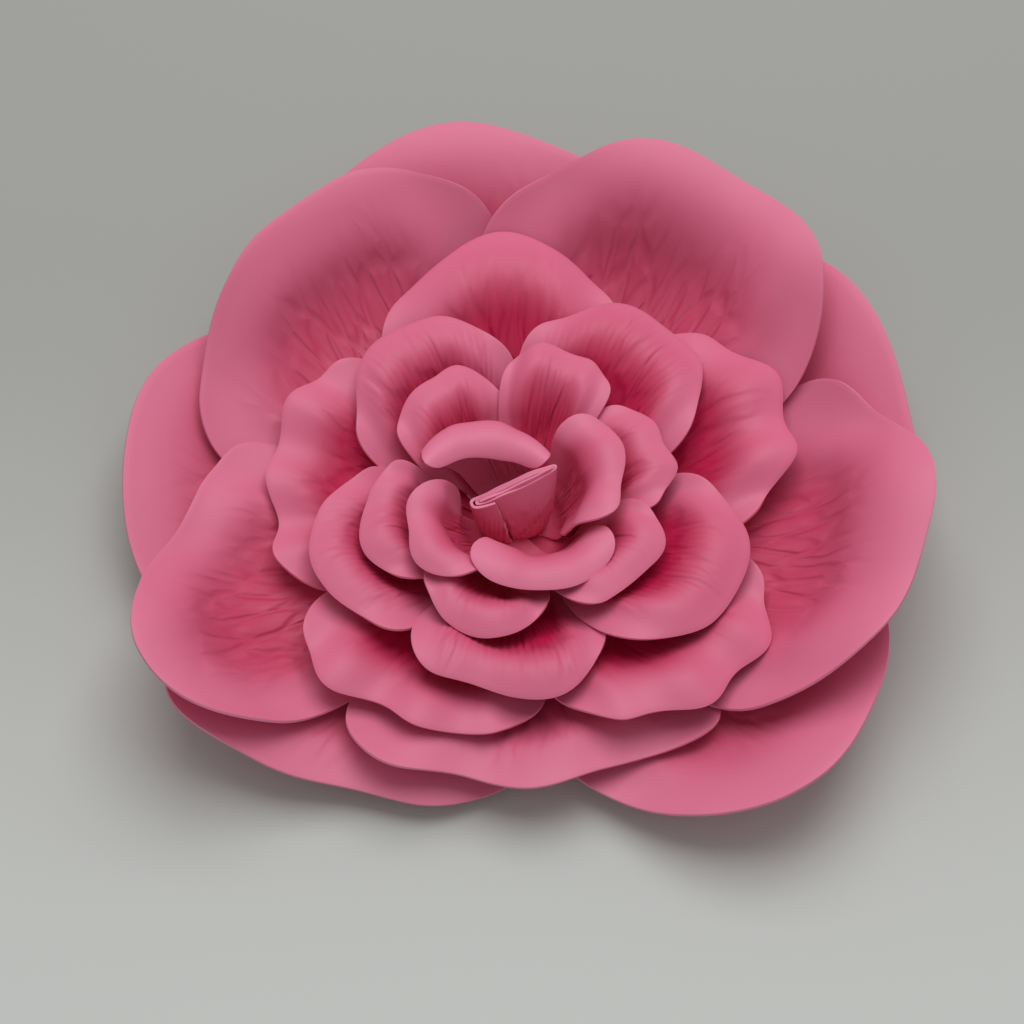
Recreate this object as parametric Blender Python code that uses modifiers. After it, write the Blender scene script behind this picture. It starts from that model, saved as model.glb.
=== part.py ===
"""Giant layered craft flower, about 0.4 m across, lying on its back.

Thirty petals cut from foam sheet are glued by their narrow feet, ring on ring, to a round
backing disc, and a rolled bud stands in the middle. The flower's axis is +Z, the back of the
disc is z = 0, and lengths are in millimetres until the finished points are scaled to metres.
"""

import math
from collections import namedtuple

import bmesh
import bpy
import numpy as np

MM = 0.001

# Driving dimensions, in millimetres. The flower's width sets every petal, the disc and the bud,
# and the sheet keeps its own thickness.
FLOWER_WIDTH = 400.0
SHEET = 1.5
GLUE_LINE = 0.4
DISC_THICKNESS = 3.0
DISC_RADIUS = 0.1125 * FLOWER_WIDTH

# The petals below are drawn for a flower 400 mm wide, and SIZE fits them to this one.
DRAWN_WIDTH = 400.0
SIZE = FLOWER_WIDTH / DRAWN_WIDTH

# A petal starts this far from the axis, leans between these two distances along its sheet, and
# takes this length of sheet to fold over.
FOOT_START = 6.0
LEANING = (18, 60)
FOLD_LENGTH = 10

# Shares of a petal's reach, or of its half width, between which a form begins and is complete
STAND_UP = (0.25, 0.60)
FLANK = (0.15, 0.50)
HOLLOW = (0.35, 0.85)
SIDES_CALM = (0.55, 0.85)
WAVY = (0.40, 1.00)
MIDDLE = (0.30, 0.80)
LIFTING = (0.25, 1.00)
ROLL_START = 0.80
BULGE_END = 0.75
CREST_PLACE = 0.80
CREST_SPREAD = 0.16
CALMED = 0.85
WAVE_LIFT = 0.5
CORNER_POWER = 5

# A ring is one layer of petals, glued at its level. Its section is the sheet's slope in degrees
# at distances along the sheet from the flower's axis. Foot is the half angle of a petal's foot,
# and corner is how much of the reach is left at its sides, where the rim rounds off. Cup, roll,
# puff and crest are how far the sheet sinks in a petal's middle, curls down at its rim, bulges
# at a side that lies on its neighbour, and stands up before the rim. Gap is the clear space
# between two lapped petals, which part from each other between the two distances of lap.
Ring = namedtuple("Ring", "name level section foot corner cup roll puff crest gap lap cells petals")

# A petal has its azimuth, the half angle of its fan, the reach of its rim along the sheet at
# seven stations from its clockwise side to the other, how far its middle stands up, whether
# each side laps over (+1) or under (-1) its neighbour, its rim's waves as count, height and
# phase, how far it leans along X and Y, and the distance along it at which it folds over
# straight, towards its own azimuth, instead of round the flower's axis.
UNFOLDED = 300
Petal = namedtuple(
    "Petal", "azimuth fan rim lift sides waves lean fold", defaults=((0, 0), UNFOLDED)
)

RINGS = (
    Ring(
        "back_petal", 0,
        ((0, 0), (40, 0), (60, 3), (120, 5), (155, 18), (185, 38), (215, 42), (240, 20)),
        30, 0.62, 1.5, 4.0, 0.5, 1.5, 1.6, (60, 80), (10, 10),
        (
            Petal(26, 42, (200, 214, 219, 225, 224, 214, 200), 0, (1, -1), (2.0, 3.0, 0.4)),
            Petal(98, 42, (200, 216, 229, 238, 231, 216, 200), 0, (1, -1), (2.0, 3.0, 1.2)),
            Petal(170, 42, (185, 196, 208, 206, 201, 186, 172), 0, (1, -1), (2.0, 3.0, 2.1)),
            Petal(242, 42, (200, 216, 194, 167, 158, 148, 145), 0, (1, -1), (2.0, 2.0, 0.0)),
            Petal(314, 42, (142, 167, 202, 223, 218, 203, 185), 0, (1, -1), (2.0, 1.5, 2.8)),
        ),
    ),
    Ring(
        "outer_petal", 1,
        ((0, 0), (33, 0), (45, 9), (60, 9), (120, 9), (155, 30), (175, 50), (205, 55), (235, 20)),
        30, 0.62, 2.0, 3.5, 1.0, 3.0, 2.8, (55, 85), (10, 10),
        (
            Petal(-11, 39, (185, 203, 224, 229, 226, 203, 210), 0, (1, -1), (2.5, 3.0, 0.0)),
            Petal(61, 38, (200, 223, 234, 234, 227, 207, 200), 0, (1, 1), (2.5, 3.0, 0.0)),
            Petal(131, 40, (220, 212, 222, 216, 201, 184, 178), 0, (-1, -1), (2.5, 3.0, 0.0)),
            Petal(198, 38, (176, 163, 176, 206, 225, 214, 154), 0, (1, -1), (2.5, 3.0, 0.0)),
            Petal(273, 43, (170, 164, 151, 156, 149, 158, 185), 0, (1, -1), (2.5, 2.0, 0.0)),
        ),
    ),
    Ring(
        "middle_petal", 2,
        ((0, 0), (30, 0), (40, 15), (60, 16), (100, 19), (125, 26), (150, -5)),
        28, 0.62, 2.0, 3.5, 1.0, 1.5, 1.2, (38, 52), (14, 9),
        (
            Petal(24, 36, (130, 136, 150, 157, 155, 143, 140), 3, (1, -1), (4.0, 3.0, 0.0)),
            Petal(93, 36, (137, 145, 158, 164, 156, 144, 140), 6, (1, -1), (2.2, 2.5, 1.9)),
            Petal(168, 41, (140, 135, 133, 130, 123, 126, 126), 0, (1, -1), (4.0, 3.0, 0.0)),
            Petal(243, 38, (130, 138, 140, 134, 137, 128, 131), 0, (1, -1), (4.0, 3.0, 0.0)),
            Petal(314, 36, (133, 137, 147, 152, 152, 144, 140), 2, (1, -1), (4.0, 3.0, 3.1)),
        ),
    ),
    Ring(
        "inner_petal", 3,
        ((0, 0), (27, 0), (36, 22), (46, 26), (78, 35), (100, 27), (122, -10)),
        28, 0.62, 2.0, 2.5, 1.0, 1.5, 1.0, (34, 46), (9, 9),
        (
            Petal(53, 36, (118, 119, 137, 137, 135, 123, 123), 3, (1, -1), (2.0, 1.5, 0.0)),
            Petal(124, 37, (110, 110, 123, 124, 117, 105, 105), 3, (1, -1), (2.0, 1.5, 0.0)),
            Petal(198, 40, (95, 92, 107, 115, 114, 112, 121), 0, (1, -1), (2.0, 1.5, 0.0)),
            Petal(271, 37, (118, 118, 118, 122, 121, 109, 96), 0, (1, -1), (2.0, 1.5, 0.0)),
            Petal(336, 38, (119, 120, 131, 132, 128, 116, 112), 0, (1, -1), (2.0, 1.0, 0.0)),
        ),
    ),
    Ring(
        "heart_petal", 4,
        ((0, 0), (22, 0), (31, 40), (64, 50), (80, 20), (97, -4)),
        20, 0.62, 1.5, 3.0, 0.5, 1.5, 1.4, (32, 39), (9, 9),
        (
            Petal(21, 30, (99, 91, 99, 95, 96, 94, 93), 0, (-1, -1), (2.0, 1.0, 0.0)),
            Petal(72, 26, (105, 97, 101, 100, 101, 95, 91), 3, (1, 1), (2.0, 1.0, 0.0)),
            Petal(122, 33, (75, 82, 95, 92, 90, 88, 90), 2, (-1, -1), (2.0, 1.0, 0.0)),
            Petal(193, 36, (88, 81, 86, 91, 94, 92, 93), 0, (1, -1), (2.0, 1.0, 0.0)),
            Petal(257, 34, (91, 86, 94, 97, 93, 86, 79), 0, (1, -1), (2.0, 1.0, 0.0)),
            Petal(326, 35, (93, 91, 92, 93, 94, 88, 85), 0, (1, 1), (2.0, 1.0, 0.0)),
        ),
    ),
    Ring(
        "bud_petal", 5,
        ((0, 0), (19, 0), (29, 72), (50, 82), (64, 38), (78, -10), (92, -38)),
        34, 0.8, 0.5, 1.0, 0.5, 0.0, 1.6, (28, 36), (12, 10),
        (
            Petal(280, 52, (82, 82, 84, 84, 84, 84, 80), 0, (1, -1), (2.0, 1.0, 0.0), (9, -2)),
        ),
    ),
    Ring(
        "cup_petal", 5,
        ((0, 0), (18, 0), (26, 62), (57, 75), (68, 35), (82, -8), (92, -20)),
        33, 0.72, 1.0, 2.0, 0.5, 0.0, 1.6, (28, 36), (10, 12),
        (
            Petal(12, 45, (80, 81, 81, 84, 86, 87, 84), 0, (1, -1), (2.0, 1.0, 0.0)),
            Petal(205, 50, (62, 69, 80, 82, 87, 85, 76), 0, (1, -1), (2.0, 1.5, 0.0), (-1, -5)),
        ),
    ),
    Ring(
        "hood_petal", 5,
        ((0, 0), (20, 0), (28, 60), (54, 76), (92, 248), (102, 255)),
        42, 0.9, 0.0, 0.0, 0.5, 0.0, 1.6, (36, 46), (12, 14),
        (
            Petal(92, 60, (78, 90, 91, 90, 88, 87, 81), 0, (1, -1), (2.0, 0.0, 0.0), (-13, 4), 54),
        ),
    ),
)

# The bud is a sheet rolled once round, with its outer end lapped over its start as a flap, for
# which it parts at the end of its first turn. It is an oval at its foot, and its top is pinched
# to a slit, turned, and higher behind. Angles are in degrees.
FULL_TURN = 360.0
BUD_START = 183.0
BUD_TURNS = 1.2
BUD_PARTING = 300.0
BUD_FOOT = (13.5, 9.0)
BUD_TOP = (21.0, 4.0)
BUD_PLACE = (1.5, 1.0)
BUD_SWELL = 2.0
BUD_TWIST = 20.0
BUD_FLAP = 1.2
BUD_HEIGHT = 39.0
BUD_SLANT = 5.0
BUD_HIGH_SIDE = 30.0

PINK = (0.87, 0.20, 0.36, 1.0)


def smooth(x):
    """A step from 0 to 1 with no corner at either end."""
    x = np.clip(x, 0.0, 1.0)
    return x * x * (3.0 - 2.0 * x)


def ramp(x, limits):
    """A smooth step from 0 at the first limit to 1 at the second."""
    return smooth((x - limits[0]) / (limits[1] - limits[0]))


def through(values, across):
    """A smooth curve through values that are evenly spaced over across, from -1 to 1."""
    ends = (2 * values[0] - values[1], 2 * values[-1] - values[-2])
    knots = np.array([ends[0], *values, ends[1]], dtype=float)
    place = (np.clip(across, -1, 1) + 1) / 2 * (len(values) - 1)
    index = np.minimum(place.astype(int), len(values) - 2)
    f = place - index
    a, b, c, d = (knots[index + step] for step in range(4))
    return b + 0.5 * f * (c - a + f * (2 * a - 5 * b + 4 * c - d + f * (3 * (b - c) + d - a)))


def ring_base(level):
    """The height of the middle of the sheet where a ring's feet lie on what carries them."""
    return DISC_THICKNESS + GLUE_LINE + SHEET / 2 + level * (SHEET + GLUE_LINE)


def section_curve(section):
    """Radius, height and slope along the sheet, at every millimetre from the axis."""
    along = np.arange(0.0, 260.0, 1.0)
    stations, slopes = zip(*section)
    slope = np.radians(np.interp(along, stations, slopes))
    radius = np.concatenate(([0.0], np.cumsum(np.cos(slope[:-1]))))
    height = np.concatenate(([0.0], np.cumsum(np.sin(slope[:-1]))))
    return along, radius, height, slope


def petal_surface(ring, petal, base, share, across):
    """Points of a petal's middle surface, where share runs from foot to rim and across from -1 to 1."""
    p = share
    q = np.sin(across * math.pi / 2)
    aside = np.abs(q)
    calm = 1 - CALMED * ramp(aside, SIDES_CALM)
    count, height, phase = petal.waves
    wave = height * np.sin(count * math.pi * q + phase) * calm
    rounding = np.sqrt(np.clip(1 - aside**CORNER_POWER, 0, 1))
    reach = through(petal.rim, q) * (ring.corner + (1 - ring.corner) * rounding) + wave
    t = FOOT_START + (reach - FOOT_START) * p

    # The fan opens as far as the side itself has parted, so that its columns never cross
    side_reach = np.where(q < 0, petal.rim[0], petal.rim[-1]) * ring.corner
    side_t = FOOT_START + (side_reach - FOOT_START) * p
    lap_start, lap_end = ring.lap
    opening = smooth((side_t - lap_start) / (lap_end - lap_start) / 2)
    angle = np.radians(petal.azimuth + q * (ring.foot + (petal.fan - ring.foot) * opening))

    rise = ramp(p, STAND_UP)
    side = np.where(q < 0, petal.sides[0], petal.sides[1])
    flank = ramp(aside, FLANK)
    edge = (p**4 + aside**4) ** 0.25
    form = petal.lift * ramp(p, LIFTING) * (1 - ramp(aside, MIDDLE))
    form -= ring.cup * (1 - ramp(edge, HOLLOW)) * rise
    form -= ring.roll * np.clip((p - ROLL_START) / (1 - ROLL_START), 0, 1) ** 2 * calm
    form += ring.crest * np.exp(-(((edge - CREST_PLACE) / CREST_SPREAD) ** 2)) * rise * calm
    form += WAVE_LIFT * wave * ramp(edge, WAVY) * rise
    bulge = flank - np.clip((aside - BULGE_END) / (1 - BULGE_END), 0, 1) ** 2
    form += np.where(side > 0, ring.puff * bulge * rise, 0.0)
    offset = SIZE * form + side * (SHEET + ring.gap) / 2 * flank * ramp(t, ring.lap)

    along, radius, height_at, slope_at = section_curve(ring.section)
    slope = np.interp(t, along, slope_at)
    rho = SIZE * np.interp(t, along, radius) - offset * np.sin(slope)
    z = base + SIZE * np.interp(t, along, height_at) + offset * np.cos(slope)
    stem = SIZE * np.interp(np.minimum(t, petal.fold), along, radius)
    turned = ramp(t, (petal.fold, petal.fold + FOLD_LENGTH))
    way = angle + (math.radians(petal.azimuth) - angle) * turned
    leaning = SIZE * ramp(t, LEANING)
    x = stem * np.cos(angle) + (rho - stem) * np.cos(way) + petal.lean[0] * leaning
    y = stem * np.sin(angle) + (rho - stem) * np.sin(way) + petal.lean[1] * leaning
    return np.stack([x, y, z], axis=-1)


def foam_material():
    material = bpy.data.materials.new("pink_foam")
    material.use_nodes = True
    shader = material.node_tree.nodes["Principled BSDF"]
    shader.inputs["Base Color"].default_value = PINK
    shader.inputs["Roughness"].default_value = 0.6
    shader.inputs["Metallic"].default_value = 0.0
    return material


def new_object(name, mesh, material, parts):
    obj = bpy.data.objects.new(name, mesh)
    obj.data.materials.append(material)
    parts.objects.link(obj)
    return obj


def sheet_object(name, grid, shape, material, parts):
    """A grid bent by shape(share, across), given the sheet's thickness on both sides of it."""
    mesh = bpy.data.meshes.new(name)
    form = bmesh.new()
    bmesh.ops.create_grid(form, x_segments=grid[0], y_segments=grid[1], size=0.5)
    flat = np.array([v.co for v in form.verts])
    bent = shape(flat[:, 1] + 0.5, flat[:, 0] * 2) * MM
    for vertex, place in zip(form.verts, bent):
        vertex.co = place
    bmesh.ops.recalc_face_normals(form, faces=form.faces)
    form.to_mesh(mesh)
    form.free()
    mesh.shade_smooth()
    obj = new_object(name, mesh, material, parts)
    wall = obj.modifiers.new("sheet", "SOLIDIFY")
    wall.thickness = SHEET * MM
    wall.offset = 0.0
    return obj


def bud_surface(base, share, across):
    """Points of the bud's rolled sheet, where across runs along the roll and share runs up it."""
    degrees = BUD_START + (across + 1) / 2 * BUD_TURNS * FULL_TURN
    angle = np.radians(degrees)
    lapped = ramp(degrees, (BUD_START + BUD_PARTING, BUD_START + FULL_TURN)) * (SHEET + BUD_FLAP)
    swell = BUD_SWELL * np.sin(math.pi * share)
    wide = BUD_FOOT[0] + (BUD_TOP[0] - BUD_FOOT[0]) * share + swell
    deep = BUD_FOOT[1] + (BUD_TOP[1] - BUD_FOOT[1]) * share**2 + swell
    x = (SIZE * wide + lapped) * np.cos(angle)
    y = (SIZE * deep + lapped) * np.sin(angle)
    turned = np.radians(BUD_TWIST * share)
    top = SIZE * (BUD_HEIGHT + BUD_SLANT * np.cos(angle - math.radians(BUD_HIGH_SIDE)))
    return np.stack([
        x * np.cos(turned) - y * np.sin(turned) + SIZE * BUD_PLACE[0],
        x * np.sin(turned) + y * np.cos(turned) + SIZE * BUD_PLACE[1],
        base + share * top,
    ], axis=-1)


def main():
    for old in list(bpy.data.objects):
        bpy.data.objects.remove(old)
    parts = bpy.data.collections.new("giant_flower")
    bpy.context.scene.collection.children.link(parts)
    foam = foam_material()

    disc = bmesh.new()
    bmesh.ops.create_cone(
        disc, cap_ends=True, segments=64,
        radius1=DISC_RADIUS * MM, radius2=DISC_RADIUS * MM, depth=DISC_THICKNESS * MM,
    )
    bmesh.ops.translate(disc, verts=disc.verts, vec=(0, 0, DISC_THICKNESS / 2 * MM))
    disc_mesh = bpy.data.meshes.new("backing_disc")
    disc.to_mesh(disc_mesh)
    disc.free()
    new_object("backing_disc", disc_mesh, foam, parts)

    for ring in RINGS:
        base = ring_base(ring.level)
        for number, petal in enumerate(ring.petals, start=1):
            def bend(share, across, ring=ring, petal=petal, base=base):
                return petal_surface(ring, petal, base, share, across)
            sheet_object(f"{ring.name}_{number}", ring.cells, bend, foam, parts)

    bud_base = ring_base(RINGS[-1].level + 1) - SHEET / 2
    sheet_object("bud_roll", (30, 6), lambda share, across: bud_surface(bud_base, share, across), foam, parts)


main()
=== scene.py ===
# %% [markdown]
# A giant layered craft flower, about 0.4 m across, that lies on its back. Thirty petals of foam
# sheet were heated, pressed and curled by hand, then glued in rings to a round disc, round a
# rolled bud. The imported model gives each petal's place and size. This script gives each one
# its thin wall, pressed creases, puffed rim and satin foam finish.

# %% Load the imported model
import math
from collections import namedtuple

import bmesh
import bpy
import numpy as np
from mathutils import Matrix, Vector


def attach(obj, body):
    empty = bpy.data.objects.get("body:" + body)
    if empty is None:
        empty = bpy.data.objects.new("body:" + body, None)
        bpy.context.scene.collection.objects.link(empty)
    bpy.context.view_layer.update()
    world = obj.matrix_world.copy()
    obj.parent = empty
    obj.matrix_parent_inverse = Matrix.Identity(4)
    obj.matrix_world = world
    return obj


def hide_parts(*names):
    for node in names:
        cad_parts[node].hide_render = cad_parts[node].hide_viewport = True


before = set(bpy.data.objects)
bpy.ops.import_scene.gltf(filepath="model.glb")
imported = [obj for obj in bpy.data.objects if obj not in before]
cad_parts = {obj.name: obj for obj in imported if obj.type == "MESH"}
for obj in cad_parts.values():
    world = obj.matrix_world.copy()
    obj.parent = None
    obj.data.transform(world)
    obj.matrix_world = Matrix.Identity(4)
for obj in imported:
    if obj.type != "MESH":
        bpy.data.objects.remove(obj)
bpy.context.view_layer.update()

print("packed nodes:", len(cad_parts))

# %% [markdown]
# The flower is measured in millimetres, because a craft maker would cut it so. One constant
# turns every finished point to metres at the end. The sheet is 1.5 mm foam, and each ring of
# petals is glued on the ring below it, so a ring's level tells how high its feet lie.

# %% Sizes that all the pieces share
MM = 0.001
SHEET = 1.5
GLUE_LINE = 0.4
DISC_THICKNESS = 3.0


def ring_base(level):
    """The height of the middle of the sheet where a ring's feet lie on what carries them."""
    return DISC_THICKNESS + GLUE_LINE + SHEET / 2 + level * (SHEET + GLUE_LINE)


print("feet lie at", [round(ring_base(level), 2) for level in range(6)], "mm")

# %% [markdown]
# A colour chosen on a screen is an sRGB hex value, but a shader works in linear light. One
# function turns the first to the second, so the colours below can stay in the form that a
# designer would write them.


# %% Colours from hex
def linear(hex_colour):
    """An sRGB hex colour as the linear red, green, blue and alpha that a socket takes."""
    shares = [int(hex_colour[i : i + 2], 16) / 255 for i in (1, 3, 5)]
    return (*(c / 12.92 if c <= 0.04045 else ((c + 0.055) / 1.055) ** 2.4 for c in shares), 1.0)


print("petal pink in linear light:", [round(c, 3) for c in linear("#D96A8C")])

# %% [markdown]
# Every material below is a small graph of nodes. This function adds one node, sets its
# properties and its sockets' own values, and joins the sockets that take another node's output,
# so that a graph reads from its first node to its last.


# %% One way to add a node
def add_node(tree, kind, values=None, links=None, **settings):
    """A new node with its settings, its sockets' own values and its incoming links."""
    node = tree.nodes.new(kind)
    for name, value in settings.items():
        setattr(node, name, value)
    for socket, value in (values or {}).items():
        node.inputs[socket].default_value = value
    for socket, source in (links or {}).items():
        tree.links.new(source, node.inputs[socket])
    return node


print("every graph below is made with", add_node.__name__)


# %% [markdown]
# The petals are moulded EVA foam: sheet that is heated until it is limp, then pressed over a
# hand or a form. Its skin is smooth and satin, with closed pores under a millimetre wide, so
# its highlights are broad and soft. Where the sheet was gathered, it keeps fine creases that
# run from the foot towards the rim and join one another, as the borders of long narrow cells
# do. A Voronoi texture's distance to the nearest border draws just that. The creases follow
# the sheet, so they read the petal's own UV map, in metres across and along it. Two
# attributes of the mesh say where it was pressed, and how much painted light its colour has:
# the deep pink is painted shade in the hollows and creases, and the light pink is a painted
# highlight towards the rim.

# %% Moulded EVA foam
# Millimetres across and along the sheet from one fine crease to the next, and how deep they are
CREASE_WIDTH = 9.0
CREASE_LENGTH = 34.0
CREASE_DEPTH = 0.8

# Shares of a cell: how wide a crease's side is, and how far its line wanders from straight. The
# wandering turns about once in each cell.
CREASE_SIDE = 0.3
WANDER = 0.35
BEND_SCALE = 1.3

# A pore's width and depth in millimetres
PORE = 0.7
PORE_DEPTH = 0.05


def moulded_foam(name, light, deep):
    """Satin foam sheet: its light colour is a painted highlight towards the rim, and the deep one
    is painted shade where the sheet is hollow.
    """
    material = bpy.data.materials.new(name)
    material.use_nodes = True
    tree = material.node_tree
    shader = tree.nodes["Principled BSDF"]
    shader.inputs["Roughness"].default_value = 0.48
    shader.inputs["IOR"].default_value = 1.45
    shader.inputs["Specular IOR Level"].default_value = 0.38

    uv = add_node(tree, "ShaderNodeUVMap", uv_map="sheet")
    cell = (1 / (CREASE_WIDTH * MM), 1 / (CREASE_LENGTH * MM), 1.0)
    along = add_node(
        tree, "ShaderNodeMapping", {"Scale": cell}, {"Vector": uv.outputs["UV"]}
    )
    bends = add_node(
        tree, "ShaderNodeTexNoise", {"Scale": BEND_SCALE, "Detail": 1.0},
        {"Vector": along.outputs["Vector"]}, noise_dimensions="2D",
    )
    wandering = add_node(
        tree, "ShaderNodeVectorMath", {1: (WANDER, WANDER, 0.0), 2: (0.0, 0.0, 0.0)},
        {0: bends.outputs["Color"], 2: along.outputs["Vector"]}, operation="MULTIPLY_ADD",
    )
    network = add_node(
        tree, "ShaderNodeTexVoronoi", {"Scale": 1.0, "Randomness": 1.0},
        {"Vector": wandering.outputs["Vector"]}, voronoi_dimensions="2D",
        feature="DISTANCE_TO_EDGE",
    )
    ribs = add_node(
        tree, "ShaderNodeMapRange", {"From Min": 0.0, "From Max": CREASE_SIDE},
        {"Value": network.outputs["Distance"]}, interpolation_type="SMOOTHERSTEP",
    )
    pores = add_node(
        tree, "ShaderNodeTexNoise", {"Scale": 1 / (PORE * MM), "Detail": 1.0},
        {"Vector": uv.outputs["UV"]}, noise_dimensions="2D",
    )
    pressed = add_node(tree, "ShaderNodeAttribute", attribute_name="pressed")
    painted_shade = add_node(tree, "ShaderNodeAttribute", attribute_name="painted_shade")

    rib_height = add_node(
        tree, "ShaderNodeMath", links={0: ribs.outputs["Result"], 1: pressed.outputs["Fac"]},
        operation="MULTIPLY",
    )
    drawn = add_node(
        tree, "ShaderNodeBump", {"Strength": 1.0, "Distance": CREASE_DEPTH * MM},
        {"Height": rib_height.outputs["Value"]},
    )
    skin = add_node(
        tree, "ShaderNodeBump", {"Strength": 0.25, "Distance": PORE_DEPTH * MM},
        {"Height": pores.outputs["Fac"], "Normal": drawn.outputs["Normal"]},
    )
    tree.links.new(skin.outputs["Normal"], shader.inputs["Normal"])

    # Painted light: the deep pink is painted shade in the hollows and creases, the light pink a
    # painted highlight towards the rim.
    tint = add_node(
        tree, "ShaderNodeMix", {6: linear(light), 7: linear(deep)},
        {0: painted_shade.outputs["Fac"]}, data_type="RGBA",
    )
    tree.links.new(tint.outputs[2], shader.inputs["Base Color"])
    return material


# The light pink is the rims' painted highlight, the deep pink the hollows' painted shade.
petal_foam = moulded_foam("moulded_eva_foam", "#EA80A1", "#C81C4E")
print("made", petal_foam.name)


# %% [markdown]
# The sheet's edge is where it was cut with scissors. The cut opens the foam's cells, so it has
# no satin skin: it is rougher. It is also painted a little paler, a painted highlight that draws
# a thin light line round each petal. It has a slot of its own on the petal, which the Solidify
# modifier gives to the rim.


# %% The cut edge of the sheet
GRAIN_DEPTH = 0.1


def cut_foam(name, colour):
    """The open cells of a cut edge, as a fine grain in the object's own space."""
    material = bpy.data.materials.new(name)
    material.use_nodes = True
    tree = material.node_tree
    shader = tree.nodes["Principled BSDF"]
    shader.inputs["Base Color"].default_value = linear(colour)
    shader.inputs["Roughness"].default_value = 0.75
    place = add_node(tree, "ShaderNodeTexCoord")
    cells = add_node(
        tree, "ShaderNodeTexVoronoi", {"Scale": 1 / (PORE * MM)},
        {"Vector": place.outputs["Object"]},
    )
    grain = add_node(
        tree, "ShaderNodeBump", {"Strength": 0.3, "Distance": GRAIN_DEPTH * MM},
        {"Height": cells.outputs["Distance"]},
    )
    tree.links.new(grain.outputs["Normal"], shader.inputs["Normal"])
    return material


# The edge's pink is painted a little paler than the sheet, as a painted highlight.
edge_foam = cut_foam("cut_eva_foam_edge", "#EC86A6")
print("made", edge_foam.name)

# %% [markdown]
# Three small functions shape everything. A smooth step turns a form on and off with no corner.
# A smooth curve through seven reaches gives each rim its own outline. A sum of sines that
# never repeat together makes hand-made unevenness that is the same each time the script runs.


# %% Steps, curves and unevenness
def smooth(x):
    """A step from 0 to 1 with no corner at either end."""
    x = np.clip(x, 0.0, 1.0)
    return x * x * (3.0 - 2.0 * x)


def ramp(x, limits):
    """A smooth step from 0 at the first limit to 1 at the second."""
    return smooth((x - limits[0]) / (limits[1] - limits[0]))


def through(values, across):
    """A smooth curve through values that are evenly spaced over across, from -1 to 1."""
    ends = (2 * values[0] - values[1], 2 * values[-1] - values[-2])
    knots = np.array([ends[0], *values, ends[1]], dtype=float)
    place = (np.clip(across, -1, 1) + 1) / 2 * (len(values) - 1)
    index = np.minimum(place.astype(int), len(values) - 2)
    f = place - index
    a, b, c, d = (knots[index + step] for step in range(4))
    return b + 0.5 * f * (c - a + f * (2 * a - 5 * b + 4 * c - d + f * (3 * (b - c) + d - a)))


def uneven(x, y, seed):
    """A smooth irregular value from -1 to 1, where x and y grow by about 6 over one lump."""
    first = np.sin(x + 2.3 * seed + 1.3 * np.sin(0.71 * y + seed))
    second = np.sin(0.57 * x - 1.1 * seed + 1.7 * np.sin(0.43 * y - 2.1 * seed))
    third = np.sin(0.83 * y + 0.9 * seed + 1.1 * np.sin(0.61 * x + 1.9 * seed))
    return (first + second + third) / 3


print("unevenness at the origin:", round(float(uneven(0.0, 0.0, 1.0)), 3))

# %% [markdown]
# A ring is one layer of petals. Its section is the sheet's slope in degrees at distances along
# the sheet from the flower's axis, so a petal is a strip of that section which opens as a fan.
# The numbers that place a petal are the same as in the CAD model. The rest is what the hands
# did, and the painted shade: how uneven the petal is, how much of the deep pink is painted into
# its hollow as shade, and how closely and deeply its foot is pressed into creases.

# %% The rings and their petals
Ring = namedtuple(
    "Ring",
    "name level section foot corner cup roll puff crest lump gap lap tone creases cells petals",
)
UNFOLDED = 300
Petal = namedtuple(
    "Petal", "azimuth fan rim lift sides waves lean fold", defaults=((0, 0), UNFOLDED)
)
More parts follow.
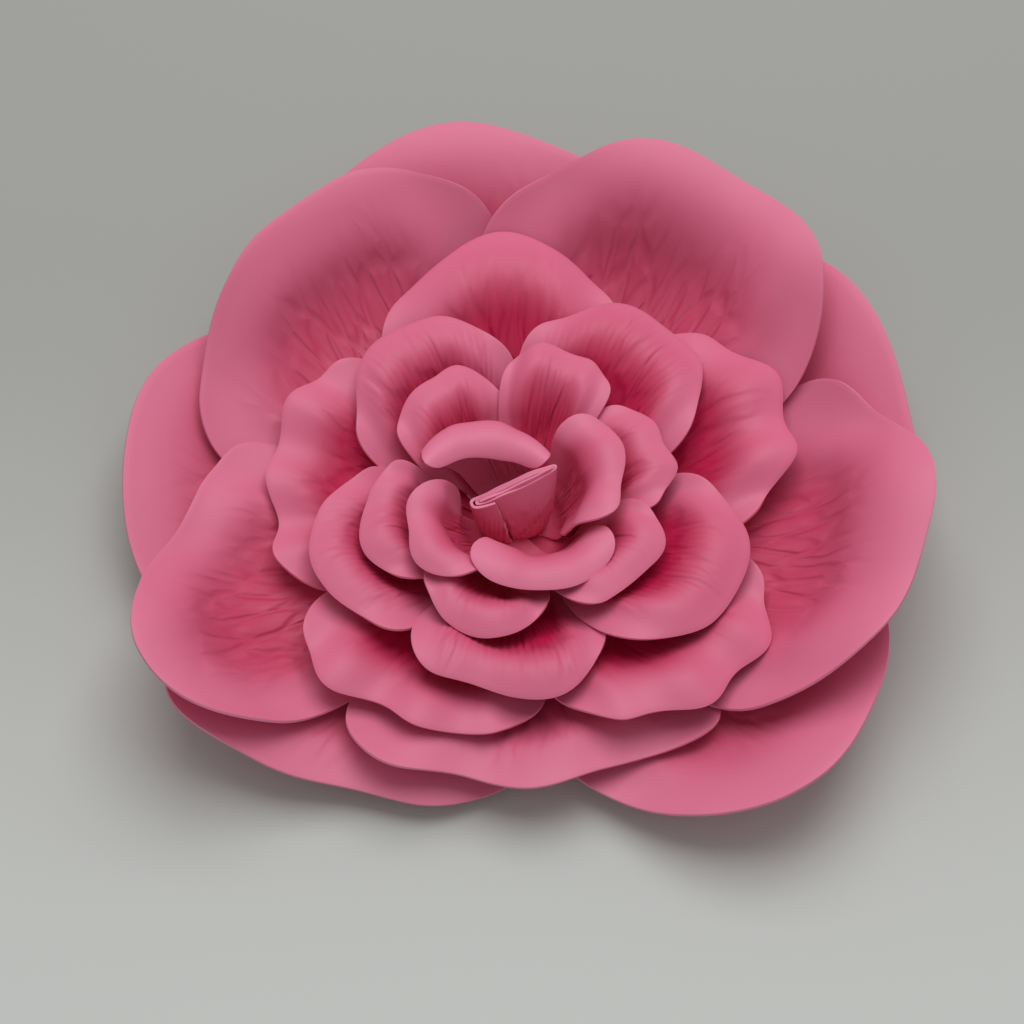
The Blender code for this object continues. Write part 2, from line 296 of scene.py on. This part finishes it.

# In a ring, foot is the half angle of a petal's foot, and corner is how much of the reach is
# left at its sides. Cup, roll, puff, crest and lump are how many millimetres the sheet sinks in
# its middle, curls at its rim, bulges at a side that lies on its neighbour, stands up before
# the rim, and wanders. Gap is the space between lapped petals, which part between the two
# distances of lap, and the number after lap is how much of the deep pink is painted into the
# hollow as painted shade. Creases are their spacing in degrees, their depth, and the shares of
# the reach where they begin and have faded.
# A petal has its azimuth, the half angle of its fan, its rim's reach at seven stations, how far
# its middle stands up, whether each side laps over (+1) or under (-1) its neighbour, its rim's
# waves as count, height and phase, how far it leans along X and Y, and where it folds over.
RINGS = (
    Ring(
        "back_petal", 0,
        ((0, 0), (40, 0), (60, 3), (120, 5), (155, 18), (185, 38), (215, 42), (240, 20)),
        30, 0.62, 1.5, 4.0, 0.5, 3.0, 3.0, 1.6, (60, 80), 0.60, (5.0, 0.4, 0.45, 0.90), (96, 44),
        (
            Petal(26, 42, (200, 214, 219, 225, 224, 214, 200), 0, (1, -1), (2.0, 3.0, 0.4)),
            Petal(98, 42, (200, 216, 229, 238, 231, 216, 200), 0, (1, -1), (2.0, 3.0, 1.2)),
            Petal(170, 42, (185, 196, 208, 206, 201, 186, 172), 0, (1, -1), (2.0, 3.0, 2.1)),
            Petal(242, 42, (200, 216, 194, 167, 158, 148, 145), 0, (1, -1), (2.0, 2.0, 0.0)),
            Petal(314, 42, (142, 167, 202, 223, 218, 203, 185), 0, (1, -1), (2.0, 1.5, 2.8)),
        ),
    ),
    Ring(
        "outer_petal", 1,
        ((0, 0), (33, 0), (45, 9), (60, 9), (120, 9), (155, 30), (175, 50), (205, 55), (235, 20)),
        30, 0.62, 2.0, 3.5, 1.0, 5.0, 4.5, 2.8, (55, 85), 0.70, (5.0, 0.5, 0.35, 0.95), (150, 56),
        (
            Petal(-11, 39, (185, 203, 224, 229, 226, 203, 210), 0, (1, -1), (2.5, 3.0, 0.0)),
            Petal(61, 38, (200, 223, 234, 234, 227, 207, 200), 0, (1, 1), (2.5, 3.0, 0.0)),
            Petal(131, 40, (220, 212, 222, 216, 201, 184, 178), 0, (-1, -1), (2.5, 3.0, 0.0)),
            Petal(198, 38, (176, 163, 176, 206, 225, 214, 154), 0, (1, -1), (2.5, 3.0, 0.0)),
            Petal(273, 43, (170, 164, 151, 156, 149, 158, 185), 0, (1, -1), (2.5, 2.0, 0.0)),
        ),
    ),
    Ring(
        "middle_petal", 2,
        ((0, 0), (30, 0), (40, 15), (60, 16), (100, 19), (125, 26), (150, -5)),
        28, 0.62, 2.0, 3.5, 1.0, 3.5, 2.5, 1.2, (38, 52), 1.00, (4.6, 0.5, 0.35, 0.95), (120, 46),
        (
            Petal(24, 36, (130, 136, 150, 157, 155, 143, 140), 3, (1, -1), (4.0, 3.0, 0.0)),
            Petal(93, 36, (137, 145, 158, 164, 156, 144, 140), 6, (1, -1), (2.2, 2.5, 1.9)),
            Petal(168, 41, (140, 135, 133, 130, 123, 126, 126), 0, (1, -1), (4.0, 3.0, 0.0)),
            Petal(243, 38, (130, 138, 140, 134, 137, 128, 131), 0, (1, -1), (4.0, 3.0, 0.0)),
            Petal(314, 36, (133, 137, 147, 152, 152, 144, 140), 2, (1, -1), (4.0, 3.0, 3.1)),
        ),
    ),
    Ring(
        "inner_petal", 3,
        ((0, 0), (27, 0), (36, 22), (46, 26), (78, 35), (100, 27), (122, -10)),
        28, 0.62, 2.0, 2.5, 1.0, 4.0, 1.5, 1.0, (34, 46), 1.00, (2.4, 0.6, 0.35, 1.00), (150, 44),
        (
            Petal(53, 36, (118, 119, 137, 137, 135, 123, 123), 3, (1, -1), (2.0, 1.5, 0.0)),
            Petal(124, 37, (110, 110, 123, 124, 117, 105, 105), 3, (1, -1), (2.0, 1.5, 0.0)),
            Petal(198, 40, (95, 92, 107, 115, 114, 112, 121), 0, (1, -1), (2.0, 1.5, 0.0)),
            Petal(271, 37, (118, 118, 118, 122, 121, 109, 96), 0, (1, -1), (2.0, 1.5, 0.0)),
            Petal(336, 38, (119, 120, 131, 132, 128, 116, 112), 0, (1, -1), (2.0, 1.0, 0.0)),
        ),
    ),
    Ring(
        "heart_petal", 4,
        ((0, 0), (22, 0), (31, 40), (64, 50), (80, 20), (97, -4)),
        20, 0.62, 1.5, 3.0, 0.5, 3.5, 1.2, 1.4, (32, 39), 0.85, (3.0, 0.5, 0.35, 0.95), (120, 40),
        (
            Petal(21, 30, (99, 91, 99, 95, 96, 94, 93), 0, (-1, -1), (2.0, 1.0, 0.0)),
            Petal(72, 26, (105, 97, 101, 100, 101, 95, 91), 3, (1, 1), (2.0, 1.0, 0.0)),
            Petal(122, 33, (75, 82, 95, 92, 90, 88, 90), 2, (-1, -1), (2.0, 1.0, 0.0)),
            Petal(193, 36, (88, 81, 86, 91, 94, 92, 93), 0, (1, -1), (2.0, 1.0, 0.0)),
            Petal(257, 34, (91, 86, 94, 97, 93, 86, 79), 0, (1, -1), (2.0, 1.0, 0.0)),
            Petal(326, 35, (93, 91, 92, 93, 94, 88, 85), 0, (1, 1), (2.0, 1.0, 0.0)),
        ),
    ),
    Ring(
        "bud_petal", 5,
        ((0, 0), (19, 0), (29, 72), (50, 82), (64, 38), (78, -10), (92, -38)),
        34, 0.8, 0.5, 1.0, 0.5, 0.0, 0.8, 1.6, (28, 36), 0.50, (5.5, 0.3, 0.30, 0.60), (90, 48),
        (
            Petal(280, 52, (82, 82, 84, 84, 84, 84, 80), 0, (1, -1), (2.0, 1.0, 0.0), (9, -2)),
        ),
    ),
    Ring(
        "cup_petal", 5,
        ((0, 0), (18, 0), (26, 62), (57, 75), (68, 35), (82, -8), (92, -20)),
        33, 0.72, 1.0, 2.0, 0.5, 1.0, 0.8, 1.6, (28, 36), 0.70, (5.0, 0.4, 0.30, 0.80), (90, 48),
        (
            Petal(12, 45, (80, 81, 81, 84, 86, 87, 84), 0, (1, -1), (2.0, 1.0, 0.0)),
            Petal(205, 50, (62, 69, 80, 82, 87, 85, 76), 0, (1, -1), (2.0, 1.5, 0.0), (-1, -5)),
        ),
    ),
    Ring(
        "hood_petal", 5,
        ((0, 0), (20, 0), (28, 60), (54, 76), (92, 248), (102, 255)),
        42, 0.9, 0.0, 0.0, 0.5, 0.0, 0.0, 1.6, (36, 46), 0.25, (6.5, 0.0, 0.30, 0.60), (90, 56),
        (
            Petal(92, 60, (78, 90, 91, 90, 88, 87, 81), 0, (1, -1), (2.0, 0.0, 0.0), (-13, 4), 54),
        ),
    ),
)
print("petals:", sum(len(ring.petals) for ring in RINGS))

# %% [markdown]
# Heat-pressed foam gathers in creases that run out from the foot. They are narrow, with soft
# ribs between them, and they wander, join and fade before the rim. The finest are in the
# material, and the broad ones bend the mesh. A rib is the arch of a sine, whose joins are the
# creases, and two families of ribs at different spacings fork where one takes over.

# %% Pressed creases
# Drift is how far a crease strays, as a share of the spacing. A lower narrowness makes a crease
# finer beside its rib, and forking is how much closer the second family of ribs lies. The last
# two say how many millimetres and degrees make one radian of the drift and of the forks.
DRIFT = 0.6
NARROWNESS = 0.55
FORKING = 1.31
DRIFT_LUMP = (9, 6)
FORK_LUMP = (16, 4)


def crease_lines(degrees, along, spacing, seed):
    """How deep in a crease each point is, from 0 on a rib to 1, by angle and way along."""
    drift = DRIFT * spacing * uneven(along / DRIFT_LUMP[0], degrees / DRIFT_LUMP[1], seed)
    near = np.abs(np.sin(np.pi * (degrees + drift) / spacing)) ** NARROWNESS
    far = np.abs(np.sin(np.pi * (degrees * FORKING - drift) / spacing)) ** NARROWNESS
    mixed = smooth(0.5 + uneven(degrees / FORK_LUMP[1], along / FORK_LUMP[0], seed + 4))
    return 1 - near * (1 - mixed) - np.minimum(near, far) * mixed


print("a crease at", round(float(crease_lines(np.array(0.0), 80.0, 4.6, 1.0)), 2))

# %% [markdown]
# A petal's middle surface is worked out point by point, from two numbers: p is a point's share
# of the way from foot to rim, and q runs from -1 at the clockwise side to 1 at the other. The
# first step is the rim. Seven reaches give its outline, waves go along it, and its two sides
# round off, because scissors turn there.

# %% The rim of a petal
# A foot starts 6 mm from the axis. The waves calm down by 85% between two shares of the half
# width, and the corners are rounded as those of a superellipse with this power are.
FOOT_START = 6.0
SIDES_CALM = (0.55, 0.85)
CALMED = 0.85
CORNER_POWER = 5


def petal_rim(ring, petal, q):
    """How far the rim reaches along the sheet, its waves' height, and how much the sides keep."""
    aside = np.abs(q)
    calm = 1 - CALMED * ramp(aside, SIDES_CALM)
    count, height, phase = petal.waves
    wave = height * np.sin(count * math.pi * q + phase) * calm
    rounding = np.sqrt(np.clip(1 - aside**CORNER_POWER, 0, 1))
    reach = through(petal.rim, q) * (ring.corner + (1 - ring.corner) * rounding) + wave
    return reach, wave, calm


first_ring, first_petal = RINGS[0], RINGS[0].petals[0]
centre_line, half_way = np.zeros(1), np.full(1, 0.5)
print("first petal's reach:", petal_rim(first_ring, first_petal, centre_line)[0], "mm")

# %% [markdown]
# A petal's foot is narrow, so that five or six of them fit round the axis, and the petal opens
# as a fan above the foot. It opens only as far as its side itself has parted from the foot, so
# that no two lines across the sheet ever cross.


# %% The fan of a petal
def petal_fan(ring, petal, p, q):
    """The angle in degrees from the petal's own azimuth."""
    side_reach = np.where(q < 0, petal.rim[0], petal.rim[-1]) * ring.corner
    side_t = FOOT_START + (side_reach - FOOT_START) * p
    lap_start, lap_end = ring.lap
    opening = smooth((side_t - lap_start) / (lap_end - lap_start) / 2)
    return q * (ring.foot + (petal.fan - ring.foot) * opening)


print("first petal's side:", petal_fan(first_ring, first_petal, np.ones(1), np.ones(1)), "degrees")

# %% [markdown]
# Heat and hands gave the flat fan its forms. Each is an offset in millimetres, square to the
# sheet: a hollow middle, a rim that rolls down, a crest before it, waves that rise towards the
# rim, soft lumps, and a bulge on a side that lies on its neighbour. That side lifts by half the
# space between two petals, and the other sinks by as much, which keeps lapped petals apart. Only
# where a lump or crest comes on top of that do some still press into one another, mostly hidden.

# %% The forms of a petal
# Shares of a petal's reach, or of its half width, between which a form begins and is complete
STAND_UP = (0.25, 0.60)
FLANK = (0.15, 0.50)
HOLLOW = (0.35, 0.85)
WAVY = (0.40, 1.00)
MIDDLE = (0.30, 0.80)
LIFTING = (0.25, 1.00)
ROLL_START = 0.80
BULGE_END = 0.75
CREST_PLACE = 0.86
CREST_SPREAD = 0.11
WAVE_LIFT = 0.5
LUMPS = (5, 6)


def from_middle(p, q):
    """How near the rim or a side a point is, as one number that has no corner."""
    return (p**4 + np.abs(q) ** 4) ** 0.25


def petal_forms(ring, petal, p, q, t, seed):
    """The offset of the sheet at share p and side q, where t is the distance along it."""
    _, wave, calm = petal_rim(ring, petal, q)
    aside = np.abs(q)
    rise = ramp(p, STAND_UP)
    side = np.where(q < 0, petal.sides[0], petal.sides[1])
    flank = ramp(aside, FLANK)
    edge = from_middle(p, q)
    offset = petal.lift * ramp(p, LIFTING) * (1 - ramp(aside, MIDDLE))
    offset -= ring.cup * (1 - ramp(edge, HOLLOW)) * rise
    offset -= ring.roll * np.clip((p - ROLL_START) / (1 - ROLL_START), 0, 1) ** 2 * calm
    offset += ring.crest * np.exp(-(((edge - CREST_PLACE) / CREST_SPREAD) ** 2)) * rise * calm
    offset += WAVE_LIFT * wave * ramp(edge, WAVY) * rise
    offset += ring.lump * uneven(q * LUMPS[0], p * LUMPS[1], seed) * rise
    bulge = flank - np.clip((aside - BULGE_END) / (1 - BULGE_END), 0, 1) ** 2
    offset += np.where(side > 0, ring.puff * bulge * rise, 0.0)
    offset += side * (SHEET + ring.gap) / 2 * flank * ramp(t, ring.lap)
    return offset


hollow = petal_forms(first_ring, first_petal, half_way, centre_line, half_way * 200, 1)
print("first petal's middle stands", hollow.round(2), "mm off its section")

# %% [markdown]
# The creases run out from the foot and fade at ragged places before the rim. Where they are
# pressed is one mask for the material. The other is painted light: the deep pink is painted
# shade, full in the hollow and deeper in each crease's line, and the rim is painted paler
# towards its edge as a highlight.

# %% The masks of a petal
# Shares of a petal's reach: where creases come up about their start, how long they take to fade,
# how ragged their end is, and where the rim is painted paler as a highlight, by how much. The
# crease shade is how much more of the deep pink is painted into a crease's line as shade.
CREASE_BEGIN = (-0.12, 0.03)
CREASE_FADE = 0.25
RAGGED = 0.1
RAGGED_DEGREES = 3
PAINTED_HIGHLIGHT_RIM = (0.66, 1.00)
PAINTED_HIGHLIGHT = 0.8
CREASE_PAINTED_SHADE = 0.1


def petal_masks(ring, p, q, t, degrees, seed):
    """How deep in a crease each point is, how pressed its place is, and its painted shade and
    highlight.
    """
    edge = from_middle(p, q)
    spacing, _, start, end = ring.creases
    ragged = RAGGED * uneven(degrees / RAGGED_DEGREES, 0.0, seed + 2)
    begun = ramp(p, (start + CREASE_BEGIN[0], start + CREASE_BEGIN[1]))
    pressed = begun * (1 - ramp(edge + ragged, (end - CREASE_FADE, end)))
    lines = crease_lines(degrees, t, spacing, seed) * pressed
    # Painted light: the rim is painted paler as a highlight, and the hollow and each crease's line
    # take the deep pink as painted shade.
    painted_rim_highlight = PAINTED_HIGHLIGHT * ramp(edge, PAINTED_HIGHLIGHT_RIM) * ramp(p, STAND_UP)
    return lines, pressed, ring.tone * (1 - painted_rim_highlight) + CREASE_PAINTED_SHADE * lines


# How much painted shade the middle of the first petal has.
pink = petal_masks(first_ring, half_way, centre_line, half_way * 200, centre_line, 1)[2]
print("first petal's middle has", pink.round(2), "of the deep pink")


# %% [markdown]
# Last, the ring's section stands the petal up. It is read as slopes and summed to radius and
# height, so every petal keeps its sheet's own length, however it bends. Beyond a petal's fold,
# its points go straight towards its azimuth and not round the flower, as a turned-over hood
# does.

# %% The surface of a petal
# Millimetres along the sheet: how far a section is worked out, between which distances a petal
# begins to lean, and how long its fold is. The flat width is a share, because a fan's middle is
# narrower than its rim.
SECTION_LENGTH = 260.0
LEANING = (18, 60)
FOLD_LENGTH = 10
FLAT_WIDTH = 0.6


def section_curve(section):
    """Radius, height and slope along the sheet, at every millimetre from the axis."""
    along = np.arange(0.0, SECTION_LENGTH, 1.0)
    stations, slopes = zip(*section)
    slope = np.radians(np.interp(along, stations, slopes))
    radius = np.concatenate(([0.0], np.cumsum(np.cos(slope[:-1]))))
    height = np.concatenate(([0.0], np.cumsum(np.sin(slope[:-1]))))
    return along, radius, height, slope


def petal_surface(ring, petal, p, q, seed):
    """Points of a petal's middle surface, with its painted shade, pressed area and flat place."""
    reach = petal_rim(ring, petal, q)[0]
    t = FOOT_START + (reach - FOOT_START) * p
    degrees = petal_fan(ring, petal, p, q)
    lines, pressed, painted_shade = petal_masks(ring, p, q, t, degrees, seed)
    offset = petal_forms(ring, petal, p, q, t, seed) - ring.creases[1] * lines

    along, radius, height_at, slope_at = section_curve(ring.section)
    slope = np.interp(t, along, slope_at)
    rho = np.interp(t, along, radius) - offset * np.sin(slope)
    z = ring_base(ring.level) + np.interp(t, along, height_at) + offset * np.cos(slope)
    stem = np.interp(np.minimum(t, petal.fold), along, radius)
    turned = ramp(t, (petal.fold, petal.fold + FOLD_LENGTH))
    angle = np.radians(petal.azimuth + degrees)
    way = angle + (math.radians(petal.azimuth) - angle) * turned
    leaning = ramp(t, LEANING)
    x = stem * np.cos(angle) + (rho - stem) * np.cos(way) + petal.lean[0] * leaning
    y = stem * np.sin(angle) + (rho - stem) * np.sin(way) + petal.lean[1] * leaning
    flat = np.stack([np.radians(degrees) * reach * FLAT_WIDTH, t], axis=-1)
    return np.stack([x, y, z], axis=-1), painted_shade, pressed, flat


print("200 mm of sheet reach", round(float(section_curve(first_ring.section)[1][200])), "mm out")

# %% [markdown]
# A petal starts as a flat grid. Its columns crowd a little towards the sides, where the rim
# turns fast. The grid's points then take the places that the surface function gives, the UV
# map keeps the flat sheet's own measure, and Solidify gives it the sheet's thickness, with
# the cut edge's finish on the rim. A narrow bevel takes the sharpness off the scissors' cut.

# %% Make a bent sheet
SIDE_CROWDING = 0.5
EDGE_ROUNDING = 0.35
SHARP_ANGLE = 60


def bent_sheet(name, cells, surface):
    """A grid bent by surface(share, across), as foam sheet with its masks, its map and its wall."""
    form = bmesh.new()
    bmesh.ops.create_grid(form, x_segments=cells[0], y_segments=cells[1], size=0.5)
    flat = np.array([v.co for v in form.verts])
    across = flat[:, 0] * 2
    across = (1 - SIDE_CROWDING) * across + SIDE_CROWDING * np.sin(across * math.pi / 2)
    points, painted_shade, pressed, place = surface(flat[:, 1] + 0.5, across)
    uv_map = form.loops.layers.uv.new("sheet")
    for vertex, point in zip(form.verts, points * MM):
        vertex.co = point
    for face in form.faces:
        for loop in face.loops:
            loop[uv_map].uv = place[loop.vert.index] * MM
    bmesh.ops.recalc_face_normals(form, faces=form.faces)
    mesh = bpy.data.meshes.new(name)
    form.to_mesh(mesh)
    form.free()
    # The painted shade and the pressed mask are stored on the points for the material.
    for mask, values in (("painted_shade", painted_shade), ("pressed", pressed)):
        layer = mesh.attributes.new(mask, "FLOAT", "POINT")
        layer.data.foreach_set("value", values.astype(np.float32))
    mesh.shade_smooth()
    mesh.materials.append(petal_foam)
    mesh.materials.append(edge_foam)
    sheet = bpy.data.objects.new(name, mesh)
    bpy.context.scene.collection.objects.link(sheet)
    wall = sheet.modifiers.new("wall", "SOLIDIFY")
    wall.thickness = SHEET * MM
    wall.offset = 0.0
    wall.material_offset_rim = 1
    rounding = sheet.modifiers.new("rounding", "BEVEL")
    rounding.width = EDGE_ROUNDING * MM
    rounding.segments = 2
    rounding.limit_method = "ANGLE"
    rounding.angle_limit = math.radians(SHARP_ANGLE)
    return sheet


def stand_for(piece, node):
    """The piece is attached to the flower's root, and the CAD node that it stands for is hidden."""
    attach(piece, "root")
    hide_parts(node)


print("each sheet will be", SHEET, "mm thick, with its edges rounded by", EDGE_ROUNDING, "mm")

# %% [markdown]
# Each petal is now made in one loop, ring by ring. Its seed is its number in the flower, so
# no two petals have the same creases, and each stays as it is from run to run.

# %% All the petals
seed = 0
for ring in RINGS:
    for number, petal in enumerate(ring.petals, start=1):
        seed += 1

        def surface(share, across, ring=ring, petal=petal, seed=seed):
            return petal_surface(ring, petal, share, across, seed)

        node = f"{ring.name}_{number}"
        stand_for(bent_sheet(f"{node}_sheet", ring.cells, surface), node)
    print(ring.name, "made:", len(ring.petals))

# %% [markdown]
# The bud is one more sheet, rolled twice round. Its top is pinched flat, so that only cut edges
# show there, and its foot is gathered into short pleats where it was squeezed and glued. The
# roll is drawn in plan, from its core out to its lapped end, and swept up from foot to top.

# %% The rolled bud
FULL_TURN = 360.0
BUD_START = 183.0
BUD_TURNS = 1.15
BUD_PARTING = 300.0
BUD_CORE_TURNS = 1.0
BUD_CORE_START = 60.0
BUD_CORE_GAP = 0.2
BUD_CORE_RISE = 1.0
BUD_END_SLOPE = 25.0
BUD_FOOT = (13.5, 9.0)
BUD_TOP_SIZE = (21.0, 2.5)
BUD_PLACE = (1.5, 1.0)
BUD_SWELL = 3.0
BUD_SQUARE = 0.7
BUD_TWIST = 21.0
BUD_FLAP = 1.2
BUD_HEIGHT = 39.0
BUD_SLANT = 5.0
BUD_HIGH_SIDE = 0.0
BUD_RAGGED = 0.8
BUD_RAGGED_DEGREES = 9
BUD_DEEPENED = 0.3
BUD_PLEAT = 8.0
BUD_PLEAT_DEPTH = 1.3
BUD_PLEATED = (0.35, 0.95)
BUD_CELLS = (260, 40)
BUD_SEED = 40


def bud_surface(share, across):
    """Points of the bud's rolled sheet, where across runs along the roll and share runs up it."""
    length = (BUD_TURNS + BUD_CORE_TURNS) * FULL_TURN + BUD_END_SLOPE * (1 - share)
    degrees = BUD_START - BUD_CORE_TURNS * FULL_TURN + (across + 1) / 2 * length
    angle = np.radians(degrees)
    pleats = crease_lines(degrees, share * BUD_HEIGHT, BUD_PLEAT, BUD_SEED)
    pressed = 1 - ramp(share, BUD_PLEATED)
    lapped = ramp(degrees, (BUD_START + BUD_PARTING, BUD_START + FULL_TURN))
    lapped *= SHEET + BUD_FLAP
    core = 1 - ramp(degrees, (BUD_START - BUD_CORE_START, BUD_START))
    lapped -= core * (SHEET + BUD_CORE_GAP)
    swell = BUD_SWELL * np.sin(math.pi * share) - BUD_PLEAT_DEPTH * pleats * pressed
    wide = BUD_FOOT[0] + (BUD_TOP_SIZE[0] - BUD_FOOT[0]) * np.sqrt(share) + lapped
    deep = BUD_FOOT[1] + (BUD_TOP_SIZE[1] - BUD_FOOT[1]) * share**1.5 + swell + lapped
    x = (wide - BUD_PLEAT_DEPTH * pleats * pressed) * np.cos(angle)
    y = deep * np.sign(np.sin(angle)) * np.abs(np.sin(angle)) ** BUD_SQUARE
    turned = np.radians(BUD_TWIST * share)
    top = BUD_HEIGHT + BUD_SLANT * np.cos(angle - math.radians(BUD_HIGH_SIDE))
    top += BUD_RAGGED * uneven(degrees / BUD_RAGGED_DEGREES, 0.0, BUD_SEED) + BUD_CORE_RISE * core
    points = np.stack([
        x * np.cos(turned) - y * np.sin(turned) + BUD_PLACE[0],
        x * np.sin(turned) + y * np.cos(turned) + BUD_PLACE[1],
        ring_base(RINGS[-1].level + 1) - SHEET / 2 + share * top,
    ], axis=-1)
    flat = np.stack([np.radians(degrees) * BUD_FOOT[0], share * top], axis=-1)
    # The bud's even share of the deep pink, with painted shade added in the lines of its pleats.
    painted_shade = BUD_DEEPENED + CREASE_PAINTED_SHADE * pleats * pressed
    return points, painted_shade, pressed, flat


stand_for(bent_sheet("bud_roll_sheet", BUD_CELLS, bud_surface), "bud_roll")
print("made the bud")

# %% [markdown]
# The backing disc is a round of the same foam, cut from a thicker sheet. The CAD solid's shape
# is right, so it stays and only takes a better finish. It has no UV map and no creases, so its
# satin skin and pores are drawn in its own space.


# %% The backing disc's finish
CLOUD = 25
BOARD_PORE_DEPTH = 0.08


def disc_foam(name, colour, cloudy):
    """Flat foam board with faint clouds of a second colour and closed pores, in its own space."""
    material = bpy.data.materials.new(name)
    material.use_nodes = True
    tree = material.node_tree
    shader = tree.nodes["Principled BSDF"]
    shader.inputs["Roughness"].default_value = 0.6
    place = add_node(tree, "ShaderNodeTexCoord")
    clouds = add_node(
        tree, "ShaderNodeTexNoise", {"Scale": 1 / (CLOUD * MM), "Detail": 2.0},
        {"Vector": place.outputs["Object"]},
    )
    pores = add_node(
        tree, "ShaderNodeTexNoise", {"Scale": 1 / (PORE * MM), "Detail": 1.0},
        {"Vector": place.outputs["Object"]},
    )
    tint = add_node(
        tree, "ShaderNodeMix", {6: linear(colour), 7: linear(cloudy)},
        {0: clouds.outputs["Fac"]}, data_type="RGBA",
    )
    skin = add_node(
        tree, "ShaderNodeBump", {"Strength": 0.3, "Distance": BOARD_PORE_DEPTH * MM},
        {"Height": pores.outputs["Fac"]},
    )
    tree.links.new(tint.outputs[2], shader.inputs["Base Color"])
    tree.links.new(skin.outputs["Normal"], shader.inputs["Normal"])
    return material


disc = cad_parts["backing_disc"]
disc.data.materials.clear()
disc.data.materials.append(disc_foam("flat_foam_board", "#D96A8C", "#C9557A"))
print("finished", disc.name)

# %% [markdown]
# The flower lies on a plain pale table, lit like a product picture: one broad soft lamp above
# its far side, and a dim even sky that fills the shadows. The paper under it is painted paler
# on the near side and darker on the far side, as painted light and shade, and its colour, not
# more light, is what makes the background pale.

# %% Floor, lamp and sky
FLOOR_DROP = 0.5
FLOOR_SIZE = 8.0
# Where the painted shade of the far side gives way to the painted light of the near side, in
# metres.
PAINTED_FALLOFF_FAR_END = 0.2
PAINTED_FALLOFF_NEAR_END = -0.3
PAPER_GRAIN = 2
PAPER_GRAIN_DEPTH = 0.1
LAMP_PLACE = (0.1, 0.7, 1.95)
LAMP_SIZE = 1.7
LAMP_WATTS = 27.5
SKY_STRENGTH = 0.35


def matt_paper_painted_falloff(name, far, near):
    """Plain matt paper for the floor, with painted light on its near side and painted shade on its
    far side, and a faint even grain.
    """
    material = bpy.data.materials.new(name)
    material.use_nodes = True
    tree = material.node_tree
    shader = tree.nodes["Principled BSDF"]
    shader.inputs["Roughness"].default_value = 0.9
    place = add_node(tree, "ShaderNodeTexCoord")
    axes = add_node(tree, "ShaderNodeSeparateXYZ", links={"Vector": place.outputs["Object"]})
    # Painted light and shade: the far colour is darker and the near one paler, across the table.
    painted_falloff = add_node(
        tree, "ShaderNodeMapRange", {"From Min": PAINTED_FALLOFF_FAR_END, "From Max": PAINTED_FALLOFF_NEAR_END},
        {"Value": axes.outputs["Y"]}, interpolation_type="SMOOTHSTEP",
    )
    tint = add_node(
        tree, "ShaderNodeMix", {6: linear(far), 7: linear(near)},
        {0: painted_falloff.outputs["Result"]}, data_type="RGBA",
    )
    tree.links.new(tint.outputs[2], shader.inputs["Base Color"])
    grain = add_node(
        tree, "ShaderNodeTexNoise", {"Scale": 1 / (PAPER_GRAIN * MM), "Detail": 2.0},
        {"Vector": place.outputs["Object"]},
    )
    bump = add_node(
        tree, "ShaderNodeBump", {"Strength": 0.1, "Distance": PAPER_GRAIN_DEPTH * MM},
        {"Height": grain.outputs["Fac"]},
    )
    tree.links.new(bump.outputs["Normal"], shader.inputs["Normal"])
    return material


ground = bmesh.new()
bmesh.ops.create_grid(ground, x_segments=1, y_segments=1, size=FLOOR_SIZE / 2)
bmesh.ops.translate(ground, verts=ground.verts, vec=(0, 0, -FLOOR_DROP * MM))
floor_mesh = bpy.data.meshes.new("floor")
ground.to_mesh(floor_mesh)
ground.free()
# The darker far grey is painted shade, the paler near grey painted light.
floor_mesh.materials.append(matt_paper_painted_falloff("matt_paper_painted_falloff", "#A8A9A5", "#D2D5D1"))
floor = bpy.data.objects.new("floor", floor_mesh)
bpy.context.scene.collection.objects.link(floor)


def soft_lamp(name, place, size, watts):
    """A square lamp that faces the middle of the flower."""
    light = bpy.data.lights.new(name, "AREA")
    light.energy = watts
    light.size = size
    lamp = bpy.data.objects.new(name, light)
    lamp.location = place
    lamp.rotation_euler = Vector(place).to_track_quat("Z", "Y").to_euler()
    bpy.context.scene.collection.objects.link(lamp)


soft_lamp("top_lamp", LAMP_PLACE, LAMP_SIZE, LAMP_WATTS)

sky = bpy.data.worlds.new("sky")
sky.use_nodes = True
sky.node_tree.nodes["Background"].inputs["Color"].default_value = (1.0, 1.0, 1.0, 1.0)
sky.node_tree.nodes["Background"].inputs["Strength"].default_value = SKY_STRENGTH
bpy.context.scene.world = sky
print("lamps: 1")

# %% [markdown]
# The camera looks down at 60 degrees, as a person does at a flower on a table. Its place is
# worked out from the bud's top, which is where the eye goes and is easy to find in a picture.
# One pixel of a 1024 pixel picture is half a millimetre at the flower.

# %% Camera
ELEVATION = 60.0
DISTANCE = 1.3
PICTURE_WIDTH = 1024
PIXEL = 0.5
BUD_TOP = Vector((0, 0, 48 * MM))
BUD_PIXEL = (513, 492)

pitch = math.radians(ELEVATION)
backwards = Vector((0, -math.cos(pitch), math.sin(pitch)))
rightwards = Vector((1, 0, 0))
upwards = backwards.cross(rightwards)
centre = PICTURE_WIDTH / 2
target = BUD_TOP - rightwards * (BUD_PIXEL[0] - centre) * PIXEL * MM
target -= upwards * (centre - BUD_PIXEL[1]) * PIXEL * MM

lens = bpy.data.cameras.new("camera")
lens.sensor_width = 36
lens.lens = lens.sensor_width * DISTANCE / (PIXEL * MM * PICTURE_WIDTH)
camera = bpy.data.objects.new("camera", lens)
camera.location = target + backwards * DISTANCE
camera.rotation_euler = backwards.to_track_quat("Z", "Y").to_euler()
bpy.context.scene.collection.objects.link(camera)
bpy.context.scene.camera = camera
bpy.context.scene.view_settings.view_transform = "Standard"
print("lens:", round(lens.lens, 1), "mm")

# %% [markdown]
# Last, a short line is printed when the script has run through.

# %% Done
print("done")
